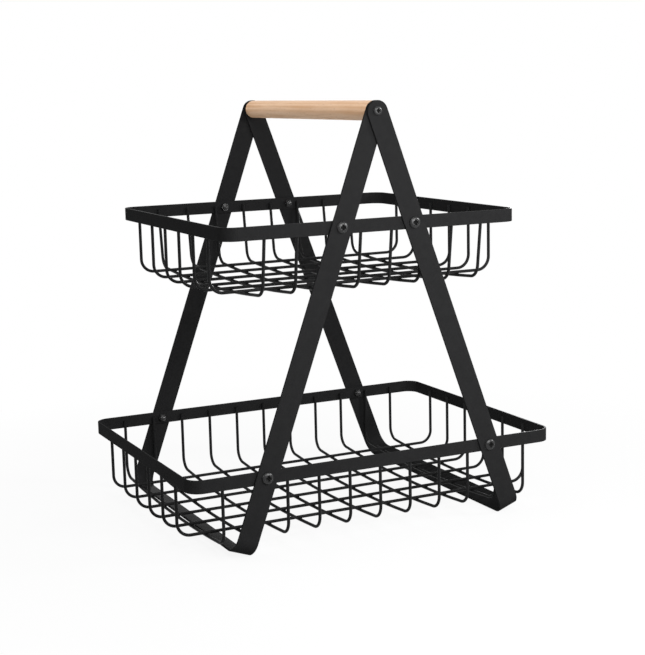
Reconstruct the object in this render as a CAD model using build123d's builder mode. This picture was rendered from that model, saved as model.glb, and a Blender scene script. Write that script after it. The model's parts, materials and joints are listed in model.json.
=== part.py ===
from build123d import *
import os
from math import copysign, cos, radians, sin, sqrt, tan

# A two tier wire basket on a stand of folded flat bar. Millimetres, +Z up, +X along the long side.
# The origin lies on the table, under the middle of the stand.

# Rims: flat bands bent on edge to a rounded rectangle
lower_rim_length = 381
upper_rim_length = 301
rim_depth = 277
rim_height = 12.3
rim_thickness = 2
rim_corner_radius = 14
rim_edge_radius = 0.4
lower_rim_top = 78.7
upper_rim_top = 298

# Stand: two U shaped flat bars that lean together at the handle
apex_height = 393.7
lean_angle = 20
bar_width = 20.5
bar_thickness = 2
bar_end_reach = 9.3
foot_bend_radius = 12
bar_edge_radius = 0.35
joggle_clearance = 3

# Basket wires, welded to one another on the floor and to the inside of the rims
wire_diameter = 3
floor_bend_radius = 13
rim_bend_radius = 18
weld_gap = 0.02
basket_depth = 70
floor_dish = 5.5
wire_end_share = 0.65
long_count = 6
long_margin = 46
lower_cross_count = 11
lower_cross_margin = 32
upper_cross_count = 8
upper_cross_margin = 39.5
upper_wall_lean_angle = 7.4

# Handle: a turned dowel with a threaded sleeve pressed into each end
handle_diameter = 18
handle_edge_radius = 1.2
insert_diameter = 8
insert_length = 15
insert_clearance = 0.05

# Screws with domed heads and a cross recess
screw_diameter = 4
screw_clearance = 0.25
thread_clearance = 0.05
head_lip = 0.7
rim_head_diameter = 11
rim_head_height = 2.8
handle_head_diameter = 8.5
handle_head_height = 2.2
handle_screw_reach = 12
recess_width = 1.2
recess_span = 5.4
recess_depth = 1.5
recess_taper_angle = 12

# Cap nuts inside the rims
nut_across_flats = 7
nut_height = 3
nut_dome_diameter = 6.4
nut_dome_height = 3.1
nut_bore_depth = 4.6
nut_end_gap = 0.5
nut_wire_gap = 2

# One overrun for every cut that goes right through
cut_overrun = 5

# Values that follow from the sizes above
rim_half_depth = rim_depth / 2
wire_radius = wire_diameter / 2
lean_sine = sin(radians(lean_angle))
lean_cosine = cos(radians(lean_angle))
lean_tangent = tan(radians(lean_angle))
edge_rise = bar_edge_radius * (lean_sine + lean_cosine - 1)
leg_length = (apex_height - lean_sine * bar_width / 2 + edge_rise) / lean_cosine
handle_length = rim_depth - bar_thickness
hole_radius = screw_diameter / 2 + screw_clearance
stack_half_depth = rim_half_depth + bar_thickness * 3 / 2
wall_offset = rim_thickness + wire_radius + weld_gap
nut_corner_radius = nut_across_flats / 2 / cos(radians(30))
nut_room = nut_corner_radius + wire_radius + nut_wire_gap


def screw_height(rim_top):
    """Height of the screws of a rim, half way up its band."""
    return rim_top - rim_height / 2


def screw_offset(rim_top):
    """Distance from the middle of the stand to a leg's centre line, at the screws of a rim."""
    return (apex_height - screw_height(rim_top)) * lean_tangent


def spread(half_span, count):
    """Evenly spaced places, from one side of the middle to the other."""
    return [half_span * (2 * i / (count - 1) - 1) for i in range(count)]


def clear_of_nuts(x, rim_top):
    """A cross wire's place along the rim, moved aside where a cap nut would stand in its way."""
    screw = screw_offset(rim_top)
    apart = min(abs(x), screw - nut_room) if abs(x) < screw else max(abs(x), screw + nut_room)
    return copysign(apart, x)


def save(piece, name):
    """Names a finished piece and writes it to a file of its own."""
    piece.label = name
    export_step(piece, f"parts/{name}.step")


def make_frame(name, side):
    """One U shaped bar, its foot to the left for side -1 and to the right for side 1.

    Its two legs are straight past both rims. Above the upper rim they step aside by half a thickness,
    both the same way, so that the two bars lie face to face at the handle. Their round ends hardly
    stand out above the dowel.
    """
    across = Vector(lean_cosine, 0, side * lean_sine)
    apex = Vector(0, 0, apex_height)
    step = -side * bar_thickness / 2
    inner = rim_half_depth
    outer = rim_half_depth + bar_thickness
    upper_screws = (apex_height - screw_height(upper_rim_top)) / lean_cosine
    lower_screws = (apex_height - screw_height(lower_rim_top)) / lean_cosine
    rim_cover = (rim_height / 2 + lean_sine * bar_width / 2) / lean_cosine
    low_bend = rim_cover + joggle_clearance - upper_screws
    high_bend = -bar_width / 2 / lean_tangent - joggle_clearance
    with BuildPart() as frame:
        with BuildSketch(Plane(origin=apex, x_dir=(0, 1, 0), z_dir=across)):
            with BuildLine():
                Polyline(
                    (step - outer, bar_end_reach),
                    (step - outer, high_bend),
                    (-outer, low_bend),
                    (-outer, -leg_length),
                    (outer, -leg_length),
                    (outer, low_bend),
                    (step + outer, high_bend),
                    (step + outer, bar_end_reach),
                    (step + inner, bar_end_reach),
                    (step + inner, high_bend),
                    (inner, low_bend),
                    (inner, bar_thickness - leg_length),
                    (-inner, bar_thickness - leg_length),
                    (-inner, low_bend),
                    (step - inner, high_bend),
                    (step - inner, bar_end_reach),
                    close=True,
                )
            make_face()
            fillet(vertices().sort_by(Axis.Y)[2:4], radius=foot_bend_radius)
            fillet(vertices().sort_by(Axis.Y)[:2], radius=foot_bend_radius + bar_thickness)
        extrude(amount=bar_width / 2, both=True)
        with BuildSketch(Plane(origin=apex, x_dir=across, z_dir=(0, -1, 0))):
            with Locations((0, bar_end_reach - bar_width / 2)):
                Rectangle(bar_width, leg_length + cut_overrun, align=(Align.CENTER, Align.MAX))
                Circle(bar_width / 2)
            with Locations((0, 0), (0, -upper_screws), (0, -lower_screws)):
                Circle(hole_radius, mode=Mode.SUBTRACT)
        extrude(amount=stack_half_depth + cut_overrun, both=True, mode=Mode.INTERSECT)
        broad_edges = frame.faces().filter_by(Axis(apex, across)).edges()
        fillet(broad_edges, radius=bar_edge_radius)
    save(frame.part, name)


def make_rim(name, length, rim_top):
    """A welded flat band with four holes for its screws."""
    with BuildPart() as rim:
        with BuildSketch(Plane.XY.offset(rim_top - rim_height)):
            RectangleRounded(length, rim_depth, rim_corner_radius)
            RectangleRounded(
                length - 2 * rim_thickness,
                rim_depth - 2 * rim_thickness,
                rim_corner_radius - rim_thickness,
                mode=Mode.SUBTRACT,
            )
        extrude(amount=rim_height)
        fillet(rim.edges().group_by(Axis.Z)[0], radius=rim_edge_radius)
        fillet(rim.edges().group_by(Axis.Z)[-1], radius=rim_edge_radius)
        with BuildSketch(Plane.XZ):
            with Locations(*[(x, screw_height(rim_top)) for x in spread(screw_offset(rim_top), 2)]):
                Circle(hole_radius)
        extrude(amount=rim_half_depth + cut_overrun, both=True, mode=Mode.SUBTRACT)
    save(rim.part, name)


def wall_foot(rim_half, height, wall_lean_angle):
    """Distance from the middle to the foot of a wire's wall that reaches so far below its rim."""
    return rim_half - wall_offset - height * tan(radians(wall_lean_angle))


def make_wire(name, plane, rim_half, rim_top, floor, dish, wall_lean_angle):
    """One wire bent to a trough: up the inside of the rim at both ends and along the floor between.

    The plane holds its centre line, rim_half is half the rim's outer size along it, and floor is the
    lowest height of that centre line. A dish raises both ends of the floor, which is then an arc.
    """
    rim_bottom = rim_top - rim_height
    end = rim_half - wall_offset
    foot = wall_foot(rim_half, rim_bottom - floor - dish, wall_lean_angle)
    wall = [(end, rim_bottom + wire_end_share * rim_height), (foot, floor + dish)]
    if wall_lean_angle:
        wall.insert(1, (end, rim_bottom))
    with BuildPart() as wire:
        with BuildLine(plane) as centre_line:
            Polyline(*wall)
            if dish:
                ThreePointArc((foot, floor + dish), (0, floor), (-foot, floor + dish))
            else:
                Line((foot, floor), (-foot, floor))
            Polyline(*[(-across, up) for across, up in reversed(wall)])
            fillet(centre_line.vertices().group_by(Axis.Z)[0], radius=floor_bend_radius)
            if wall_lean_angle:
                fillet(centre_line.vertices().group_by(Axis.Z)[-2], radius=rim_bend_radius)
        with BuildSketch(Plane(origin=centre_line.line @ 0, z_dir=centre_line.line % 0)):
            Circle(wire_radius)
        sweep()
    save(wire.part, name)


def make_basket(tier, length, rim_top, cross_count, cross_margin, wall_lean_angle):
    """A rim with its two layers of wires.

    The short wires lie lowest, each with a dished floor, and the straight floors of the long ones rest
    on them, higher towards the front and back.
    """
    make_rim(f"{tier}_rim", length, rim_top)
    cross_floor = rim_top - basket_depth + wire_radius
    for i, x in enumerate(spread(length / 2 - cross_margin, cross_count), 1):
        make_wire(
            f"{tier}_cross_wire_{i}",
            Plane.YZ.offset(clear_of_nuts(x, rim_top)),
            rim_half_depth,
            rim_top,
            cross_floor,
            floor_dish,
            wall_lean_angle,
        )
    foot = wall_foot(rim_half_depth, basket_depth - rim_height - wire_radius - floor_dish, wall_lean_angle)
    dish_radius = (foot**2 + floor_dish**2) / 2 / floor_dish
    for i, y in enumerate(spread(rim_half_depth - long_margin, long_count), 1):
        rise = dish_radius - sqrt(dish_radius**2 - y**2)
        long_floor = cross_floor + rise + wire_diameter + weld_gap
        make_wire(f"{tier}_long_wire_{i}", Plane.XZ.offset(-y), length / 2, rim_top, long_floor, 0, 0)


def make_screw(head_diameter, head_height, shank_length):
    """A screw that points down from the origin, where its head sits."""
    with BuildPart() as screw:
        with BuildSketch(Plane.XZ):
            with BuildLine():
                Polyline(
                    (0, head_height),
                    (0, -shank_length),
                    (screw_diameter / 2, -shank_length),
                    (screw_diameter / 2, 0),
                    (head_diameter / 2, 0),
                    (head_diameter / 2, head_lip),
                )
                TangentArc((0, head_height), (head_diameter / 2, head_lip), tangent=(1, 0))
            make_face()
        revolve(axis=Axis.Z)
        with BuildSketch(Plane.XY.offset(head_height)):
            Rectangle(recess_span, recess_width)
            Rectangle(recess_width, recess_span)
        extrude(amount=-recess_depth, taper=recess_taper_angle, mode=Mode.SUBTRACT)
    return screw.part


def make_cap_nut():
    """A cap nut that stands on the origin, with its blind bore open downwards."""
    with BuildPart() as nut:
        with BuildSketch():
            RegularPolygon(radius=nut_across_flats / 2, side_count=6, major_radius=False)
        extrude(amount=nut_height)
        with BuildSketch(Plane.XZ):
            with BuildLine():
                Polyline(
                    (0, nut_height + nut_dome_height),
                    (0, nut_height),
                    (nut_dome_diameter / 2, nut_height),
                )
                TangentArc(
                    (0, nut_height + nut_dome_height),
                    (nut_dome_diameter / 2, nut_height),
                    tangent=(1, 0),
                )
            make_face()
        revolve(axis=Axis.Z)
        with BuildSketch():
            Circle(screw_diameter / 2 + thread_clearance)
        extrude(amount=nut_bore_depth, mode=Mode.SUBTRACT)
    return nut.part


def facing(x, y, z, outward):
    """A place whose own +Z axis points to the front for outward -1 and to the back for outward 1."""
    return Location(Plane(origin=(x, y, z), x_dir=(1, 0, 0), z_dir=(0, outward, 0)))


def place_group(name, piece, places):
    """Copies of one fastener as separate solids of one node."""
    with BuildPart() as group:
        with Locations(*places):
            add(piece)
    save(group.part, name)


def make_rim_fasteners(tier, rim_top):
    """Four screws through the legs and a rim, each with its cap nut on the inside."""
    screw = make_screw(
        rim_head_diameter,
        rim_head_height,
        bar_thickness + rim_thickness + nut_bore_depth - nut_end_gap,
    )
    spots = [(x, way) for way in (-1, 1) for x in spread(screw_offset(rim_top), 2)]
    height = screw_height(rim_top)
    head_seat = rim_half_depth + bar_thickness
    nut_seat = rim_half_depth - rim_thickness
    place_group(
        f"{tier}_rim_screws",
        screw,
        [facing(x, way * head_seat, height, way) for x, way in spots],
    )
    place_group(
        f"{tier}_rim_nuts",
        make_cap_nut(),
        [facing(x, way * nut_seat, height, -way) for x, way in spots],
    )


def make_handle():
    """The dowel, the threaded sleeves in its ends and the screws that clamp both bars to it."""
    axis_plane = Plane(origin=(0, 0, apex_height), x_dir=(1, 0, 0), z_dir=(0, -1, 0))
    ends = [facing(0, way * handle_length / 2, apex_height, way) for way in (-1, 1)]
    with BuildPart() as handle:
        with BuildSketch(axis_plane):
            Circle(handle_diameter / 2)
        extrude(amount=handle_length / 2, both=True)
        fillet(handle.edges().filter_by(GeomType.CIRCLE), radius=handle_edge_radius)
        with Locations(*ends):
            Hole(insert_diameter / 2 + insert_clearance, depth=insert_length + insert_clearance)
    save(handle.part, "handle")
    with BuildPart() as insert:
        with BuildSketch():
            Circle(insert_diameter / 2)
            Circle(screw_diameter / 2 + thread_clearance, mode=Mode.SUBTRACT)
        extrude(amount=-insert_length)
    place_group("handle_inserts", insert.part, ends)
    screw = make_screw(
        handle_head_diameter,
        handle_head_height,
        2 * bar_thickness + handle_screw_reach,
    )
    place_group(
        "handle_screws",
        screw,
        [facing(0, way * stack_half_depth, apex_height, way) for way in (-1, 1)],
    )


os.makedirs("parts", exist_ok=True)
make_frame("left_frame", -1)
make_frame("right_frame", 1)
make_handle()
make_basket("lower", lower_rim_length, lower_rim_top, lower_cross_count, lower_cross_margin, 0)
make_basket(
    "upper",
    upper_rim_length,
    upper_rim_top,
    upper_cross_count,
    upper_cross_margin,
    upper_wall_lean_angle,
)
make_rim_fasteners("lower", lower_rim_top)
make_rim_fasteners("upper", upper_rim_top)
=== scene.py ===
"""A two tier wire basket on a folded bar stand, dressed and set in a plain studio.

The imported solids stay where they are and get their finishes. The screws and cap nuts are turned again in
finer detail, and the weld beads that join the wires are added.
"""

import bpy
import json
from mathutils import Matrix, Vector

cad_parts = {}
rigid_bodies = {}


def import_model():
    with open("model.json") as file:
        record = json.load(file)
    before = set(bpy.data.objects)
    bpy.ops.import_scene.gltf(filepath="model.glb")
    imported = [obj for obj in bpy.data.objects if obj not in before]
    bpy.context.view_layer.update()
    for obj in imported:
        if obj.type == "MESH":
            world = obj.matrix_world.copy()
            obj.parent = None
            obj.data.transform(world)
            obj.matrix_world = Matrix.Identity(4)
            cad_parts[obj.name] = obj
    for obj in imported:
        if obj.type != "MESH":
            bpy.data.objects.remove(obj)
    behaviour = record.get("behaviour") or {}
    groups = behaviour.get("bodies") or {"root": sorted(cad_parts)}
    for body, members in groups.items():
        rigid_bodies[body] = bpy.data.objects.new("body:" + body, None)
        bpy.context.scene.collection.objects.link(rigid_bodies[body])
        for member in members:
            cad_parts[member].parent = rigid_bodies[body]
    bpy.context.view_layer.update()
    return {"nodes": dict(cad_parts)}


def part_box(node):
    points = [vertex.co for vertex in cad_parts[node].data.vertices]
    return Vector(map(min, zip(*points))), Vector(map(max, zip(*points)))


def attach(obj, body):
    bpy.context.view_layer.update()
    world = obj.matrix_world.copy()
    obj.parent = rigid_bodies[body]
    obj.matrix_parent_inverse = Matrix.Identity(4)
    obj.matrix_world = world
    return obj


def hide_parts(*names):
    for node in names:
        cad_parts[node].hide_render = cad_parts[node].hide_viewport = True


bl_info = {
    "name": "Tiered Wire Basket",
    "version": (1, 0, 0),
    "blender": (4, 5, 0),
    "location": "View3D > Sidebar > Basket",
    "description": "Finishes a two tier wire basket and sets it in a plain studio",
    "category": "Object",
}

import json
import math

import bmesh
import bpy
from bpy.props import FloatProperty, FloatVectorProperty, IntProperty, PointerProperty
from bpy.types import Operator, Panel, PropertyGroup
from mathutils import Matrix, Vector

for leftover in list(bpy.data.objects):
    bpy.data.objects.remove(leftover)

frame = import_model()

MM = 0.001
BODY = "root"
TIERS = ("lower", "upper")

# How fine the coat's pebbled skin is on the wires and their welds, beside the bars
WIRE_GRAIN_SHARE = 0.7

# Softboxes, each with its place, width and height in metres and its power in watts
LAMPS = {
    "front_softbox": ((0.12, -0.62, 0.38), 0.35, 0.35, 4.3),
    "high_softbox": ((-0.3, -1.15, 0.8), 0.25, 0.25, 4),
    "right_softbox": ((1.2, -0.75, 0.75), 0.3, 0.35, 14),
    "left_softbox": ((-1.3, -0.05, 0.65), 0.25, 0.3, 4),
    "top_softbox": ((-0.35, 0.1, 1.5), 0.8, 0.8, 10),
    "back_softbox": ((1.1, 0.95, 0.35), 0.4, 0.3, 11),
}


# Places read from the frame


def nodes_named(*words):
    """The frame's nodes whose names hold all of the words, in the order of their numbers."""
    found = [name for name in frame["nodes"] if all(word in name for word in words)]
    return sorted(found, key=lambda name: (len(name), name))


def box_middle(name):
    """The middle of a node's box."""
    low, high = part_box(name)
    return (low + high) / 2


def separate_parts(name):
    """The boxes of the separate solids in one node, as pairs of corners."""
    source = bmesh.new()
    source.from_mesh(frame["nodes"][name].data)
    bmesh.ops.remove_doubles(source, verts=source.verts, dist=MM / 100)
    waiting = set(source.verts)
    parts = []
    while waiting:
        group = []
        queue = [waiting.pop()]
        while queue:
            vert = queue.pop()
            group.append(vert.co.copy())
            for edge in vert.link_edges:
                other = edge.other_vert(vert)
                if other in waiting:
                    waiting.remove(other)
                    queue.append(other)
        low = Vector([min(co[i] for co in group) for i in range(3)])
        high = Vector([max(co[i] for co in group) for i in range(3)])
        parts.append((low, high))
    source.free()
    return sorted(parts, key=lambda part: tuple(round(value, 4) for value in part[0]))


# Small tools for materials


def start_material(name, roughness):
    """A new material with its shader, ready for textures."""
    material = bpy.data.materials.new(name)
    material.use_nodes = True
    shader = material.node_tree.nodes["Principled BSDF"]
    shader.inputs["Roughness"].default_value = roughness
    return material, material.node_tree, shader


def add_node(tree, kind, values=None, **settings):
    """A node with its settings and the values of its unlinked sockets."""
    node = tree.nodes.new(kind)
    for name, value in settings.items():
        setattr(node, name, value)
    for name, value in (values or {}).items():
        node.inputs[name].default_value = value
    return node


def object_place(tree, scale=(1, 1, 1), location=(0, 0, 0), rotation=(0, 0, 0)):
    """Object coordinates, moved, turned and scaled."""
    place = add_node(tree, "ShaderNodeTexCoord")
    mapping = add_node(
        tree,
        "ShaderNodeMapping",
        {"Scale": scale, "Location": location, "Rotation": rotation},
    )
    tree.links.new(place.outputs["Object"], mapping.inputs["Vector"])
    return mapping.outputs["Vector"]


def noise(tree, vector, scale, detail=2, roughness=0.5, distortion=0):
    """A noise texture's value."""
    texture = add_node(
        tree,
        "ShaderNodeTexNoise",
        {"Scale": scale, "Detail": detail, "Roughness": roughness, "Distortion": distortion},
    )
    tree.links.new(vector, texture.inputs["Vector"])
    return texture.outputs["Fac"]


def remap(tree, value, low, high, to_low=0, to_high=1):
    """A value moved from one range to another and held within it."""
    node = add_node(
        tree,
        "ShaderNodeMapRange",
        {"From Min": low, "From Max": high, "To Min": to_low, "To Max": to_high},
    )
    tree.links.new(value, node.inputs["Value"])
    return node.outputs["Result"]


def blend_colours(tree, value, first, second):
    """Two colours, or a colour and another blend, mixed by a value."""
    node = add_node(tree, "ShaderNodeMix", data_type="RGBA")
    tree.links.new(value, node.inputs["Factor"])
    for name, colour in (("A", first), ("B", second)):
        socket = [item for item in node.inputs if item.name == name and item.type == "RGBA"][0]
        if isinstance(colour, bpy.types.NodeSocket):
            tree.links.new(colour, socket)
        else:
            socket.default_value = (*colour[:3], 1)
    return [item for item in node.outputs if item.type == "RGBA"][0]


def calculate(tree, operation, first, second):
    """One sum with two values, each a socket or a number."""
    node = add_node(tree, "ShaderNodeMath", operation=operation)
    for socket, value in zip(node.inputs, (first, second)):
        if isinstance(value, bpy.types.NodeSocket):
            tree.links.new(value, socket)
        else:
            socket.default_value = value
    return node.outputs["Value"]


def add_bump(tree, shader, height, distance):
    """Fine relief on a shader."""
    bump = add_node(tree, "ShaderNodeBump", {"Strength": 1, "Distance": distance})
    tree.links.new(height, bump.inputs["Height"])
    tree.links.new(bump.outputs["Normal"], shader.inputs["Normal"])


def make_coat(name, settings, roughness, gloss, grain_share=1, painted_shade=1, painted_recess_shade=None):
    """Powder coat: black with a faint mottle, a satin sheen that varies and a fine pebbled skin.

    A painted shade below one darkens its colour: a darker copy of the coat that stands in for shade.
    A painted recess shade colour is used, at full roughness and without sheen, where the mesh's own recess
    mask attribute is one. It stands in for the shadow deep in a screw's cross recess.
    """
    material, tree, shader = start_material(name, roughness)
    vector = object_place(tree)
    mottle = noise(tree, vector, 1 / settings.mottle_size, detail=3)
    # Painted shade: below one, the coat's colours are darkened, a darker copy standing in for shade
    shades = [[value * painted_shade for value in colour] for colour in (settings.colour, settings.light_colour)]
    colour = blend_colours(tree, remap(tree, mottle, 0.3, 0.7), *shades)
    # Painted shade: a darker colour in a screw's recess, standing in for the shadow that falls there
    if painted_recess_shade:
        recess_shade_mask = add_node(tree, "ShaderNodeAttribute", attribute_name="recess_shade_mask")
        colour = blend_colours(tree, recess_shade_mask.outputs["Fac"], colour, painted_recess_shade)
    tree.links.new(colour, shader.inputs["Base Color"])
    grain = noise(tree, vector, 1 / (settings.grain_size * grain_share), detail=2)
    both = calculate(tree, "ADD", grain, mottle)
    spread = settings.roughness_spread
    sheen = remap(tree, both, 0.7, 1.3, roughness - spread, roughness + spread)
    if painted_recess_shade:
        sheen = calculate(tree, "MAXIMUM", sheen, recess_shade_mask.outputs["Fac"])
    tree.links.new(sheen, shader.inputs["Roughness"])
    shader.inputs["Specular IOR Level"].default_value = gloss
    add_bump(tree, shader, grain, settings.grain_height * grain_share)
    return material


def make_wood(name, settings, middle):
    """Pale hardwood with its grain along the dowel: growth rings, fine fibres and short flecks."""
    material, tree, shader = start_material(name, settings.roughness)
    ring_place = object_place(
        tree,
        scale=(1, settings.ring_stretch, 1),
        location=(settings.pith_offset, 0, settings.pith_offset - middle.z),
    )
    waver = noise(tree, ring_place, 1 / settings.waver_size, detail=2)
    rings = add_node(
        tree,
        "ShaderNodeTexWave",
        {
            "Scale": math.pi / 10 / settings.ring_spacing,
            "Distortion": 6,
            "Detail": 2,
            "Detail Scale": 0.2,
        },
        wave_type="RINGS",
        rings_direction="Y",
        wave_profile="SIN",
    )
    tree.links.new(ring_place, rings.inputs["Vector"])
    fibre_place = object_place(tree, scale=(1, settings.fibre_stretch, 1))
    fibres = noise(tree, fibre_place, 1 / settings.fibre_size, detail=3, roughness=0.6)
    fleck_place = object_place(tree, scale=(1, settings.fleck_stretch, 1))
    flecks = noise(tree, fleck_place, 1 / settings.fleck_size, detail=1)
    fleck_mask = remap(tree, flecks, 0.62, 0.72)
    ringed = calculate(tree, "MULTIPLY", rings.outputs["Fac"], settings.ring_share)
    streaked = calculate(tree, "MULTIPLY", waver, 1 - settings.ring_share)
    figure = remap(tree, calculate(tree, "ADD", ringed, streaked), 0.35, 0.75)
    figure_colour = blend_colours(tree, figure, settings.pale_colour, settings.ring_colour)
    fibre_share = remap(tree, fibres, 0.35, 0.8, 0, settings.fibre_strength)
    fibre_colour = blend_colours(tree, fibre_share, figure_colour, settings.fibre_colour)
    fleck_share = calculate(tree, "MULTIPLY", fleck_mask, settings.fleck_strength)
    colour = blend_colours(tree, fleck_share, fibre_colour, settings.fleck_colour)
    tree.links.new(colour, shader.inputs["Base Color"])
    spread = settings.roughness_spread
    sheen = remap(tree, fibres, 0.3, 0.7, settings.roughness - spread, settings.roughness + spread)
    tree.links.new(sheen, shader.inputs["Roughness"])
    shader.inputs["Specular IOR Level"].default_value = settings.gloss
    relief = calculate(tree, "SUBTRACT", fibres, fleck_share)
    add_bump(tree, shader, relief, settings.fibre_height)
    return material


def make_brass(name, settings):
    """Turned brass: fine rings left by the lathe and a faint tarnish."""
    material, tree, shader = start_material(name, settings.roughness)
    shader.inputs["Metallic"].default_value = 1
    vector = object_place(tree)
    tarnish = noise(tree, vector, 1 / settings.tarnish_size, detail=3)
    colour = blend_colours(tree, tarnish, settings.colour, settings.tarnish_colour)
    tree.links.new(colour, shader.inputs["Base Color"])
    lathe_place = object_place(tree, scale=(0, 1, 0))
    rings = noise(tree, lathe_place, 1 / settings.ring_size)
    add_bump(tree, shader, rings, settings.ring_height)
    return material


def dress(names, material):
    """Puts one material on all slots of some nodes."""
    for name in names:
        for slot in frame["nodes"][name].material_slots:
            slot.material = material


# Small tools for new pieces


def only(kind, items):
    """The vertices, edges or faces among what a bmesh operator gives back."""
    return [item for item in items if isinstance(item, kind)]


def grow_rings(shape, segments, rings):
    """A skin through closed rings round the Z axis, made by extruding a circle ring by ring.

    Each ring is two rules: its radius at an angle, and its height at a radius. A ring of no radius keeps a
    trace of one, so that its vertices hold their angles until they are merged.
    """
    verts = bmesh.ops.create_circle(shape, segments=segments, radius=MM)["verts"]
    edges = list({edge for vert in verts for edge in vert.link_edges})
    grown = list(verts)
    for number, (radius, height) in enumerate(rings):
        if number:
            geometry = bmesh.ops.extrude_edge_only(shape, edges=edges)["geom"]
            verts = only(bmesh.types.BMVert, geometry)
            edges = [edge for edge in only(bmesh.types.BMEdge, geometry) if set(edge.verts) <= set(verts)]
            grown += verts
        for vert in verts:
            angle = math.atan2(vert.co.y, vert.co.x)
            reach = max(radius(angle), MM / 10000)
            vert.co = (reach * math.cos(angle), reach * math.sin(angle), height(reach))
    return grown


def place_facing(shape, verts, place, outward):
    """Moves vertices from round the origin to a place, their Z axis turned to the front or the back."""
    turn = Matrix.Rotation(math.radians(90) * -outward, 4, "X")
    bmesh.ops.transform(shape, matrix=Matrix.Translation(place) @ turn, verts=verts)


def keep_piece(name, shape, material, replaced=(), sharp_angle=math.pi):
    """Turns a finished bmesh into an object that rides on the basket."""
    bmesh.ops.remove_doubles(shape, verts=shape.verts, dist=MM / 1000)
    bmesh.ops.recalc_face_normals(shape, faces=shape.faces)
    mesh = bpy.data.meshes.new(name)
    shape.to_mesh(mesh)
    shape.free()
    mesh.shade_smooth()
    mesh.set_sharp_from_angle(angle=sharp_angle)
    mesh.materials.append(material)
    piece = bpy.data.objects.new(name, mesh)
    bpy.context.scene.collection.objects.link(piece)
    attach(piece, BODY)
    if replaced:
        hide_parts(*replaced)
    return piece


# Settings that a user would change


class CoatSettings(PropertyGroup):
    """The black powder coat of the bars, rims and wires."""

    colour: FloatVectorProperty(
        name="Colour",
        description="Darkest colour of the coat",
        subtype="COLOR",
        default=(0.0125, 0.0125, 0.0128),
    )
    light_colour: FloatVectorProperty(
        name="Light colour",
        description="Lightest colour of the mottle",
        subtype="COLOR",
        default=(0.014, 0.014, 0.0143),
    )
    mottle_size: FloatProperty(
        name="Mottle size", description="Width of the faint mottle", unit="LENGTH", default=0.006
    )
    gloss: FloatProperty(
        name="Gloss", description="Strength of the bars' reflection", subtype="FACTOR", default=0.0008
    )
    wire_gloss: FloatProperty(
        name="Wire gloss", description="Strength of the wires' reflection", subtype="FACTOR", default=0.015
    )
    bar_roughness: FloatProperty(
        name="Bar roughness", description="Roughness on bars and rims", subtype="FACTOR", default=0.17
    )
    wire_roughness: FloatProperty(
        name="Wire roughness", description="Roughness on wires and welds", subtype="FACTOR", default=0.2
    )
    roughness_spread: FloatProperty(
        name="Roughness spread", description="How far the roughness varies", subtype="FACTOR", default=0.04
    )
    # Painted shade: the wires' coat is darkened, standing in for the shade on the thin round wires
    wire_painted_shade: FloatProperty(
        name="Wire shade",
        description="The wires' share of the bars' lightness",
        subtype="FACTOR",
        default=0.88,
    )
    grain_size: FloatProperty(
        name="Grain size", description="Width of the pebbled skin", unit="LENGTH", default=0.0009
    )
    grain_height: FloatProperty(
        name="Grain height", description="Height of the pebbled skin", unit="LENGTH", default=0.00002
    )


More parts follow.
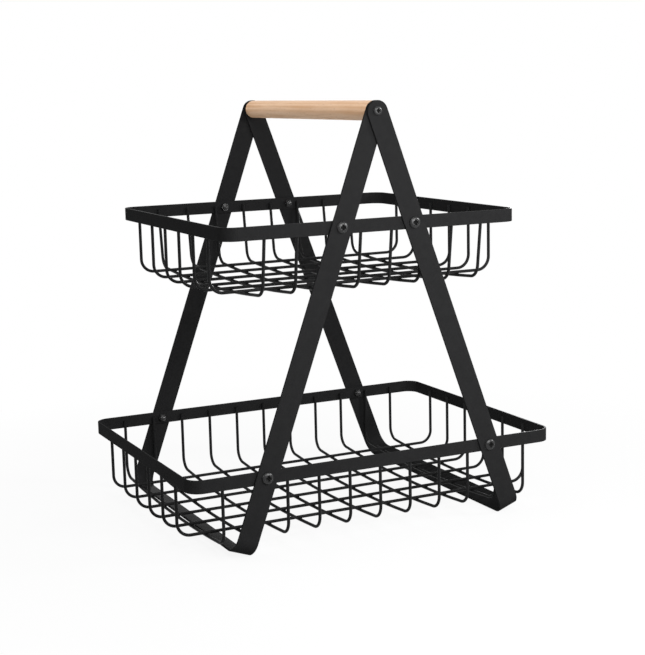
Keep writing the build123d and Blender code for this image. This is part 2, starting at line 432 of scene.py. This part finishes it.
class FastenerSettings(PropertyGroup):
    """The black finish of the screws and cap nuts."""

    colour: FloatVectorProperty(
        name="Colour", description="Darkest colour", subtype="COLOR", default=(0.009, 0.009, 0.0093)
    )
    light_colour: FloatVectorProperty(
        name="Light colour", description="Lightest colour", subtype="COLOR", default=(0.015, 0.015, 0.0155)
    )
    # Painted shade: a darker colour deep in the cross recess, standing in for the recess's shadow
    recess_shade_colour: FloatVectorProperty(
        name="Recess colour",
        description="Colour deep in the recess",
        subtype="COLOR",
        default=(0.003, 0.003, 0.003),
    )
    mottle_size: FloatProperty(
        name="Mottle size", description="Width of the mottle", unit="LENGTH", default=0.002
    )
    gloss: FloatProperty(
        name="Gloss", description="Strength of the screws' reflection", subtype="FACTOR", default=0.28
    )
    nut_gloss: FloatProperty(
        name="Nut gloss", description="Strength of the nuts' reflection", subtype="FACTOR", default=0.4
    )
    screw_roughness: FloatProperty(
        name="Screw roughness", description="Roughness of the screws", subtype="FACTOR", default=0.26
    )
    nut_roughness: FloatProperty(
        name="Nut roughness", description="Roughness of the cap nuts", subtype="FACTOR", default=0.1
    )
    roughness_spread: FloatProperty(
        name="Roughness spread", description="How far the roughness varies", subtype="FACTOR", default=0.04
    )
    grain_size: FloatProperty(
        name="Grain size", description="Width of the fine grain", unit="LENGTH", default=0.0004
    )
    grain_height: FloatProperty(
        name="Grain height", description="Height of the fine grain", unit="LENGTH", default=0.000004
    )
    segments: IntProperty(name="Segments", description="Steps round a screw or nut", default=96)
    dome_steps: IntProperty(
        name="Dome steps", description="Steps from a dome's middle to its edge", default=10
    )
    lip: FloatProperty(
        name="Lip", description="Upright edge of a screw's head", unit="LENGTH", default=0.0006
    )
    dome_fullness: FloatProperty(
        name="Dome fullness", description="How square a head's dome is", default=2.5
    )
    shank_width: FloatProperty(
        name="Shank width", description="Diameter of the screws", unit="LENGTH", default=0.004
    )
    recess_span_share: FloatProperty(
        name="Recess span",
        description="The cross recess's share of a head",
        subtype="FACTOR",
        default=0.5,
    )
    recess_arm_share: FloatProperty(
        name="Recess arm",
        description="Share of a head that an arm of the cross takes",
        subtype="FACTOR",
        default=0.22,
    )
    recess_depth_share: FloatProperty(
        name="Recess depth",
        description="The recess's depth as a share of half a head",
        subtype="FACTOR",
        default=0.46,
    )
    recess_round: FloatProperty(
        name="Recess round", description="Rounding of the recess's edge", unit="LENGTH", default=0.0002
    )
    recess_taper: FloatProperty(
        name="Recess taper",
        description="Share of the recess left at its floor",
        subtype="FACTOR",
        default=0.45,
    )
    hexagon_share: FloatProperty(
        name="Hexagon share", description="Share of a cap nut's height", subtype="FACTOR", default=0.49
    )
    chamfer: FloatProperty(
        name="Chamfer",
        description="Height of the chamfer on a nut's corners",
        unit="LENGTH",
        default=0.0004,
    )
    nut_dome_share: FloatProperty(
        name="Nut dome share", description="Dome's share of a nut's width", subtype="FACTOR", default=0.92
    )


class WoodSettings(PropertyGroup):
    """The pale hardwood of the handle."""

    pale_colour: FloatVectorProperty(
        name="Pale colour", description="Early wood", subtype="COLOR", default=(0.78, 0.52, 0.33)
    )
    ring_colour: FloatVectorProperty(
        name="Ring colour", description="Late wood", subtype="COLOR", default=(0.6, 0.33, 0.16)
    )
    fibre_colour: FloatVectorProperty(
        name="Fibre colour", description="Darker fibres", subtype="COLOR", default=(0.56, 0.33, 0.18)
    )
    fleck_colour: FloatVectorProperty(
        name="Fleck colour", description="Short flecks", subtype="COLOR", default=(0.33, 0.17, 0.08)
    )
    roughness: FloatProperty(
        name="Roughness", description="Roughness of the sanded wood", subtype="FACTOR", default=0.5
    )
    roughness_spread: FloatProperty(
        name="Roughness spread", description="How far the roughness varies", subtype="FACTOR", default=0.06
    )
    gloss: FloatProperty(
        name="Gloss", description="Strength of the reflection", subtype="FACTOR", default=0.5
    )
    ring_share: FloatProperty(
        name="Ring share", description="Growth rings' share of the figure", subtype="FACTOR", default=0.3
    )
    ring_spacing: FloatProperty(
        name="Ring spacing", description="Distance between growth rings", unit="LENGTH", default=0.0042
    )
    ring_stretch: FloatProperty(
        name="Ring stretch",
        description="Share of the figure's change along the grain",
        subtype="FACTOR",
        default=0.15,
    )
    pith_offset: FloatProperty(
        name="Pith offset",
        description="How far the tree's middle lies from the dowel",
        unit="LENGTH",
        default=0.021,
    )
    waver_size: FloatProperty(
        name="Waver size", description="Width of the broad streaks", unit="LENGTH", default=0.009
    )
    fibre_size: FloatProperty(
        name="Fibre size", description="Width of the fibres", unit="LENGTH", default=0.0011
    )
    fibre_stretch: FloatProperty(
        name="Fibre stretch",
        description="Share of the fibres' change along the grain",
        subtype="FACTOR",
        default=0.03,
    )
    fibre_strength: FloatProperty(
        name="Fibre strength", description="Most of the fibres' colour", subtype="FACTOR", default=0.5
    )
    fibre_height: FloatProperty(
        name="Fibre height", description="Height of the fibres", unit="LENGTH", default=0.00003
    )
    fleck_size: FloatProperty(
        name="Fleck size", description="Width of the flecks", unit="LENGTH", default=0.0006
    )
    fleck_stretch: FloatProperty(
        name="Fleck stretch",
        description="Share of the flecks' change along the grain",
        subtype="FACTOR",
        default=0.12,
    )
    fleck_strength: FloatProperty(
        name="Fleck strength", description="Most of the flecks' colour", subtype="FACTOR", default=0.35
    )


class BrassSettings(PropertyGroup):
    """The threaded sleeves inside the handle."""

    colour: FloatVectorProperty(
        name="Colour", description="Clean brass", subtype="COLOR", default=(0.74, 0.55, 0.24)
    )
    tarnish_colour: FloatVectorProperty(
        name="Tarnish colour", description="Tarnished brass", subtype="COLOR", default=(0.5, 0.35, 0.14)
    )
    roughness: FloatProperty(
        name="Roughness", description="Roughness of the turned brass", subtype="FACTOR", default=0.3
    )
    tarnish_size: FloatProperty(
        name="Tarnish size", description="Width of the tarnish", unit="LENGTH", default=0.004
    )
    ring_size: FloatProperty(
        name="Ring size", description="Width of the lathe's rings", unit="LENGTH", default=0.0002
    )
    ring_height: FloatProperty(
        name="Ring height", description="Height of the lathe's rings", unit="LENGTH", default=0.00001
    )


class WeldSettings(PropertyGroup):
    """The weld beads where wires cross and where they meet the rims."""

    crossing_width: FloatProperty(
        name="Crossing width",
        description="Width of a bead between two wires",
        unit="LENGTH",
        default=0.0032,
    )
    crossing_height: FloatProperty(
        name="Crossing height",
        description="Height of a bead between two wires",
        unit="LENGTH",
        default=0.0018,
    )
    rim_width: FloatProperty(
        name="Rim bead width", description="Width of a bead at a rim", unit="LENGTH", default=0.0038
    )
    rim_thickness: FloatProperty(
        name="Rim bead thickness", description="Thickness of a bead at a rim", unit="LENGTH", default=0.001
    )
    rim_length_share: FloatProperty(
        name="Rim bead length",
        description="Share of the lap of wire and rim",
        subtype="FACTOR",
        default=0.92,
    )
    # Painted shade: the beads' coat is darkened, standing in for the shadow where the wires lap the rims
    painted_shade: FloatProperty(
        name="Shade", description="The beads' share of the bars' lightness", subtype="FACTOR", default=0.6
    )
    roundness: IntProperty(name="Roundness", description="Subdivisions of a bead", default=2)


class StageSettings(PropertyGroup):
    """The camera, lamps, floor and background."""

    azimuth: FloatProperty(
        name="Azimuth",
        description="Camera's turn round the basket",
        subtype="ANGLE",
        default=math.radians(-25.873),
    )
    elevation: FloatProperty(
        name="Elevation",
        description="Camera's angle above the horizon",
        subtype="ANGLE",
        default=math.radians(9.642),
    )
    roll: FloatProperty(
        name="Roll", description="Camera's tilt to one side", subtype="ANGLE", default=math.radians(-1.351)
    )
    distance: FloatProperty(
        name="Distance", description="From the camera to what it aims at", unit="LENGTH", default=1.42536
    )
    aim: FloatVectorProperty(
        name="Aim",
        description="Point that the camera looks at",
        subtype="XYZ",
        unit="LENGTH",
        default=(0.0058, -0.0069, 0.1783),
    )
    lens: FloatProperty(name="Lens", description="Focal length in millimetres", default=78.335)
    floor_radius: FloatProperty(
        name="Floor radius", description="Half the floor's width", unit="LENGTH", default=6
    )
    floor_colour: FloatVectorProperty(
        name="Floor colour", description="Colour under the white", subtype="COLOR", default=(0.6, 0.6, 0.6)
    )
    floor_white: FloatProperty(
        name="Floor white",
        description="White's share of the floor under the basket",
        subtype="FACTOR",
        default=0.9,
    )
    shadow_start: FloatProperty(
        name="Shadow start", description="Where the floor begins to whiten", unit="LENGTH", default=0.2
    )
    shadow_reach: FloatProperty(
        name="Shadow reach", description="Where the floor is all white", unit="LENGTH", default=0.6
    )
    ambient: FloatProperty(name="Ambient", description="Light from all round", default=0.1)


class BasketOperator:
    """What the operators of this file share."""

    bl_options = {"REGISTER", "UNDO"}


class BASKET_OT_coat_bars(BasketOperator, Operator):
    """Give the folded bars and the rims their black powder coat"""

    bl_idname = "basket.coat_bars"
    bl_label = "Coat bars and rims"

    def execute(self, context):
        coat = context.scene.basket_coat
        dress(nodes_named("frame"), make_coat("bar_coat", coat, coat.bar_roughness, coat.gloss))
        rims = [f"{tier}_rim" for tier in TIERS]
        dress(rims, make_coat("rim_coat", coat, coat.bar_roughness, coat.gloss, grain_share=0.8))
        return {"FINISHED"}


class BASKET_OT_coat_wires(BasketOperator, Operator):
    """Give the wires their black powder coat"""

    bl_idname = "basket.coat_wires"
    bl_label = "Coat wires"

    def execute(self, context):
        coat = context.scene.basket_coat
        # The wires' coat is darkened by a painted shade
        material = make_coat(
            "wire_coat",
            coat,
            coat.wire_roughness,
            coat.wire_gloss,
            grain_share=WIRE_GRAIN_SHARE,
            painted_shade=coat.wire_painted_shade,
        )
        dress(nodes_named("wire"), material)
        return {"FINISHED"}


class BASKET_OT_weld_wires(BasketOperator, Operator):
    """Add the weld beads where wires cross on the floor and where their ends meet the rims"""

    bl_idname = "basket.weld_wires"
    bl_label = "Weld wires"

    def add_bead(self, shape, place, size, settings):
        """One rounded bead of that size."""
        bmesh.ops.create_icosphere(
            shape,
            subdivisions=settings.roundness,
            radius=0.5,
            matrix=Matrix.Translation(place) @ Matrix.Diagonal((*size, 1)),
        )

    def execute(self, context):
        settings = context.scene.basket_weld
        coat = context.scene.basket_coat
        # The beads' coat is darkened by a painted shade
        material = make_coat(
            "weld_coat",
            coat,
            coat.wire_roughness,
            coat.gloss,
            grain_share=WIRE_GRAIN_SHARE,
            painted_shade=settings.painted_shade,
        )
        for tier in TIERS:
            cross_wires = nodes_named(tier, "cross")
            long_wires = nodes_named(tier, "long")
            rim_low, rim_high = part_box(f"{tier}_rim")
            shape = bmesh.new()
            for cross in cross_wires:
                cross_low, cross_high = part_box(cross)
                x = box_middle(cross).x
                for long in long_wires:
                    place = Vector((x, box_middle(long).y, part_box(long)[0].z))
                    size = (settings.crossing_width, settings.crossing_width, settings.crossing_height)
                    self.add_bead(shape, place, size, settings)
                lap = cross_high.z - rim_low.z
                size = (settings.rim_width, settings.rim_thickness, lap * settings.rim_length_share)
                for y in (cross_low.y, cross_high.y):
                    place = Vector((x, y, rim_low.z + lap / 2))
                    self.add_bead(shape, place, size, settings)
            for long in long_wires:
                long_low, long_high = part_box(long)
                lap = long_high.z - rim_low.z
                size = (settings.rim_thickness, settings.rim_width, lap * settings.rim_length_share)
                for x in (long_low.x, long_high.x):
                    place = Vector((x, box_middle(long).y, rim_low.z + lap / 2))
                    self.add_bead(shape, place, size, settings)
            keep_piece(f"{tier}_weld_beads", shape, material)
        return {"FINISHED"}


class BASKET_OT_finish_handle(BasketOperator, Operator):
    """Give the dowel its wood and the sleeves inside it their brass"""

    bl_idname = "basket.finish_handle"
    bl_label = "Finish handle"

    def execute(self, context):
        wood = make_wood("handle_wood", context.scene.basket_wood, box_middle("handle"))
        dress(["handle"], wood)
        dress(["handle_inserts"], make_brass("insert_brass", context.scene.basket_brass))
        return {"FINISHED"}


class BASKET_OT_fit_screws(BasketOperator, Operator):
    """Turn the screws, with rounded heads and a cross recess"""

    bl_idname = "basket.fit_screws"
    bl_label = "Fit screws"

    # How many of a screw's rings, from its middle, lie in the recess and carry its painted shade
    recess_rings = 4

    def cross_outline(self, angle, head_radius, settings):
        """The cross recess's radius at an angle."""
        folded = abs((angle + math.pi / 4) % (math.pi / 2) - math.pi / 4)
        end = head_radius * settings.recess_span_share / math.cos(folded)
        side = head_radius * settings.recess_arm_share / max(math.sin(folded), MM)
        return min(end, side)

    def screw_rings(self, head_radius, head_height, shank_length, settings):
        """The rings of one screw, from the middle of its recess over its head to its tip."""
        lip, corner = settings.lip, settings.recess_round
        depth = head_radius * settings.recess_depth_share

        def dome(reach):
            share = min(reach / head_radius, 1)
            return lip + (head_height - lip) * (1 - share**settings.dome_fullness) ** 0.5

        def cross(scale, widen=0):
            return lambda angle: self.cross_outline(angle, head_radius, settings) * scale + widen

        def between(share):
            def radius(angle):
                inner = self.cross_outline(angle, head_radius, settings) + corner
                return inner + (head_radius - inner) * share

            return radius

        def level(height):
            return lambda reach: height

        def round_bar(radius):
            return lambda angle: radius

        floor = head_height - depth
        rings = [(round_bar(0), level(floor))]
        rings.append((cross(settings.recess_taper * 0.5), level(floor)))
        rings.append((cross(settings.recess_taper), level(floor + corner)))
        rings.append((cross(1), lambda reach: dome(reach) - corner))
        rings.append((cross(1, corner * 0.3), lambda reach: dome(reach) - corner * 0.3))
        for step in range(settings.dome_steps + 1):
            rings.append((between(math.sin(math.pi / 2 * step / settings.dome_steps)), dome))
        rings.append((round_bar(head_radius), level(corner)))
        rings.append((round_bar(head_radius - corner), level(0)))
        rings.append((round_bar(settings.shank_width / 2), level(0)))
        rings.append((round_bar(settings.shank_width / 2), level(corner - shank_length)))
        rings.append((round_bar(settings.shank_width / 2 - corner), level(-shank_length)))
        rings.append((round_bar(0), level(-shank_length)))
        return rings

    def execute(self, context):
        settings = context.scene.basket_fastener
        # The screws' coat, with painted shade in the recess: a darker colour standing in for its shadow
        material = make_coat(
            "screw_coat",
            settings,
            settings.screw_roughness,
            settings.gloss,
            painted_recess_shade=settings.recess_shade_colour,
        )
        reaches = [abs(corner.y) for name in nodes_named("frame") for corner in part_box(name)]
        for name in nodes_named("screws"):
            seat = max(reaches) if "handle" in name else min(reaches)
            shape = bmesh.new()
            recess_shade_mask = shape.verts.layers.float.new("recess_shade_mask")
            for low, high in separate_parts(name):
                middle = (low + high) / 2
                outward = math.copysign(1, middle.y)
                top = max(abs(low.y), abs(high.y))
                shank_length = high.y - low.y - top + seat
                rings = self.screw_rings((high.x - low.x) / 2, top - seat, shank_length, settings)
                verts = grow_rings(shape, settings.segments, rings)
                # Marks the recess rings for the painted shade
                for vert in verts[: settings.segments * self.recess_rings]:
                    vert[recess_shade_mask] = 1
                place_facing(shape, verts, Vector((middle.x, outward * seat, middle.z)), outward)
            keep_piece(f"{name}_turned", shape, material, (name,), math.radians(50))
        return {"FINISHED"}


class BASKET_OT_fit_nuts(BasketOperator, Operator):
    """Make the cap nuts, with chamfered corners, a flat shoulder and a full dome"""

    bl_idname = "basket.fit_nuts"
    bl_label = "Fit cap nuts"

    def nut_rings(self, flat_radius, height, settings):
        """The rings of one cap nut, from its seat to the top of its dome."""
        chamfer = settings.chamfer
        hexagon = height * settings.hexagon_share
        dome_radius = flat_radius * settings.nut_dome_share
        corner_radius = flat_radius / math.cos(math.radians(30))
        shoulder = (flat_radius + dome_radius) / 2

        def outline(limit):
            def radius(angle):
                from_flat = (angle % math.radians(60)) - math.radians(30)
                return min(flat_radius / math.cos(from_flat), limit)

            return radius

        def level(value):
            return lambda reach: value

        rings = [(outline(0), level(0)), (outline(shoulder), level(0))]
        rings.append((outline(flat_radius), level(0)))
        for share in (0.5, 1):
            limit = flat_radius + (corner_radius - flat_radius) * share
            rings.append((outline(limit), level(chamfer * share)))
        for share in (1, 0.5, 0):
            limit = flat_radius + (corner_radius - flat_radius) * share
            rings.append((outline(limit), level(hexagon - chamfer * share)))
        rings.append((outline(shoulder), level(hexagon)))
        for step in range(settings.dome_steps + 1):
            turn = math.pi / 2 * step / settings.dome_steps
            rise = hexagon + (height - hexagon) * math.sin(turn)
            rings.append((outline(dome_radius * math.cos(turn)), level(rise)))
        return rings

    def execute(self, context):
        settings = context.scene.basket_fastener
        material = make_coat("nut_coat", settings, settings.nut_roughness, settings.nut_gloss)
        for name in nodes_named("nuts"):
            shape = bmesh.new()
            for low, high in separate_parts(name):
                middle = (low + high) / 2
                outward = -math.copysign(1, middle.y)
                seat = low.y if outward > 0 else high.y
                rings = self.nut_rings((high.z - low.z) / 2, high.y - low.y, settings)
                verts = grow_rings(shape, settings.segments, rings)
                place_facing(shape, verts, Vector((middle.x, seat, middle.z)), outward)
            keep_piece(f"{name}_turned", shape, material, (name,), math.radians(28))
        return {"FINISHED"}


class BASKET_OT_set_stage(BasketOperator, Operator):
    """Set the camera, the lamps, the floor and the white background"""

    bl_idname = "basket.set_stage"
    bl_label = "Set stage"

    def seen_white(self, tree):
        """One for rays that see the background, straight, in a gloss or through glass."""
        path = add_node(tree, "ShaderNodeLightPath")
        first = calculate(tree, "MAXIMUM", path.outputs["Is Camera Ray"], path.outputs["Is Glossy Ray"])
        return calculate(tree, "MAXIMUM", first, path.outputs["Is Transmission Ray"])

    def make_floor(self, settings):
        """A wide pale disc that keeps the basket's shadow faint and is plain white further out."""
        shape = bmesh.new()
        bmesh.ops.create_circle(shape, cap_ends=True, segments=96, radius=settings.floor_radius)
        mesh = bpy.data.meshes.new("floor")
        shape.to_mesh(mesh)
        shape.free()
        floor = bpy.data.objects.new("floor", mesh)
        bpy.context.scene.collection.objects.link(floor)
        material, tree, shader = start_material("floor_white", 0.8)
        shader.inputs["Base Color"].default_value = (*settings.floor_colour, 1)
        shader.inputs["Specular IOR Level"].default_value = 0
        glow = add_node(tree, "ShaderNodeEmission", {"Color": (1, 1, 1, 1), "Strength": 1})
        mix = add_node(tree, "ShaderNodeMixShader")
        place = add_node(tree, "ShaderNodeTexCoord")
        away = add_node(tree, "ShaderNodeVectorMath", operation="LENGTH")
        tree.links.new(place.outputs["Object"], away.inputs[0])
        start, reach = settings.shadow_start, settings.shadow_reach
        whiteness = remap(tree, away.outputs["Value"], start, reach, settings.floor_white, 1)
        share = calculate(tree, "MULTIPLY", self.seen_white(tree), whiteness)
        tree.links.new(share, mix.inputs["Fac"])
        tree.links.new(shader.outputs["BSDF"], mix.inputs[1])
        tree.links.new(glow.outputs["Emission"], mix.inputs[2])
        tree.links.new(mix.outputs["Shader"], tree.nodes["Material Output"].inputs["Surface"])
        mesh.materials.append(material)

    def make_world(self, settings):
        """A white surround that lights the basket softly."""
        world = bpy.data.worlds.new("studio")
        world.use_nodes = True
        tree = world.node_tree
        soft = tree.nodes["Background"]
        soft.inputs["Color"].default_value = (1, 1, 1, 1)
        soft.inputs["Strength"].default_value = settings.ambient
        white = add_node(tree, "ShaderNodeBackground", {"Color": (1, 1, 1, 1), "Strength": 1})
        mix = add_node(tree, "ShaderNodeMixShader")
        tree.links.new(self.seen_white(tree), mix.inputs["Fac"])
        tree.links.new(soft.outputs["Background"], mix.inputs[1])
        tree.links.new(white.outputs["Background"], mix.inputs[2])
        tree.links.new(mix.outputs["Shader"], tree.nodes["World Output"].inputs["Surface"])
        bpy.context.scene.world = world

    def make_lamp(self, name, place, width, height, power, target):
        """A softbox that faces a point and isn't seen itself."""
        data = bpy.data.lights.new(name, "AREA")
        data.shape = "RECTANGLE"
        data.size = width
        data.size_y = height
        data.energy = power
        lamp = bpy.data.objects.new(name, data)
        lamp.location = place
        lamp.visible_camera = False
        lamp.rotation_euler = (target - lamp.location).to_track_quat("-Z", "Y").to_euler()
        bpy.context.scene.collection.objects.link(lamp)

    def make_camera(self, settings):
        """The camera at the photograph's angle."""
        turn, rise, roll = settings.azimuth, settings.elevation, settings.roll
        back = Vector((math.sin(turn) * math.cos(rise), -math.cos(turn) * math.cos(rise), math.sin(rise)))
        right = Vector((math.cos(turn), math.sin(turn), 0))
        up = back.cross(right)
        side = math.cos(roll) * right + math.sin(roll) * up
        top = math.cos(roll) * up - math.sin(roll) * right
        data = bpy.data.cameras.new("camera")
        data.lens = settings.lens
        data.sensor_width = 36
        camera = bpy.data.objects.new("camera", data)
        place = Matrix.Translation(Vector(settings.aim) + settings.distance * back)
        camera.matrix_world = place @ Matrix((side, top, back)).transposed().to_4x4()
        bpy.context.scene.collection.objects.link(camera)
        bpy.context.scene.camera = camera

    def execute(self, context):
        settings = context.scene.basket_stage
        middle = Vector(settings.aim)
        self.make_floor(settings)
        self.make_world(settings)
        self.make_camera(settings)
        for name, (place, width, height, power) in LAMPS.items():
            self.make_lamp(name, place, width, height, power, middle)
        context.scene.view_settings.view_transform = "Standard"
        return {"FINISHED"}


class BASKET_PT_panel(Panel):
    """The steps that dress the basket, in order"""

    bl_label = "Tiered wire basket"
    bl_idname = "BASKET_PT_panel"
    bl_space_type = "VIEW_3D"
    bl_region_type = "UI"
    bl_category = "Basket"

    def draw(self, context):
        column = self.layout.column(align=True)
        for step in STEPS:
            column.operator(step.bl_idname)


STEPS = (
    BASKET_OT_coat_bars,
    BASKET_OT_coat_wires,
    BASKET_OT_weld_wires,
    BASKET_OT_finish_handle,
    BASKET_OT_fit_screws,
    BASKET_OT_fit_nuts,
    BASKET_OT_set_stage,
)
SETTINGS = {
    "basket_coat": CoatSettings,
    "basket_fastener": FastenerSettings,
    "basket_wood": WoodSettings,
    "basket_brass": BrassSettings,
    "basket_weld": WeldSettings,
    "basket_stage": StageSettings,
}
CLASSES = (*SETTINGS.values(), *STEPS, BASKET_PT_panel)


def register():
    for item in CLASSES:
        bpy.utils.register_class(item)
    for name, group in SETTINGS.items():
        setattr(bpy.types.Scene, name, PointerProperty(type=group))


def unregister():
    for name in SETTINGS:
        delattr(bpy.types.Scene, name)
    for item in reversed(CLASSES):
        bpy.utils.unregister_class(item)


def main():
    register()
    for step in STEPS:
        group, name = step.bl_idname.split(".")
        getattr(getattr(bpy.ops, group), name)()


if __name__ == "__main__":
    main()
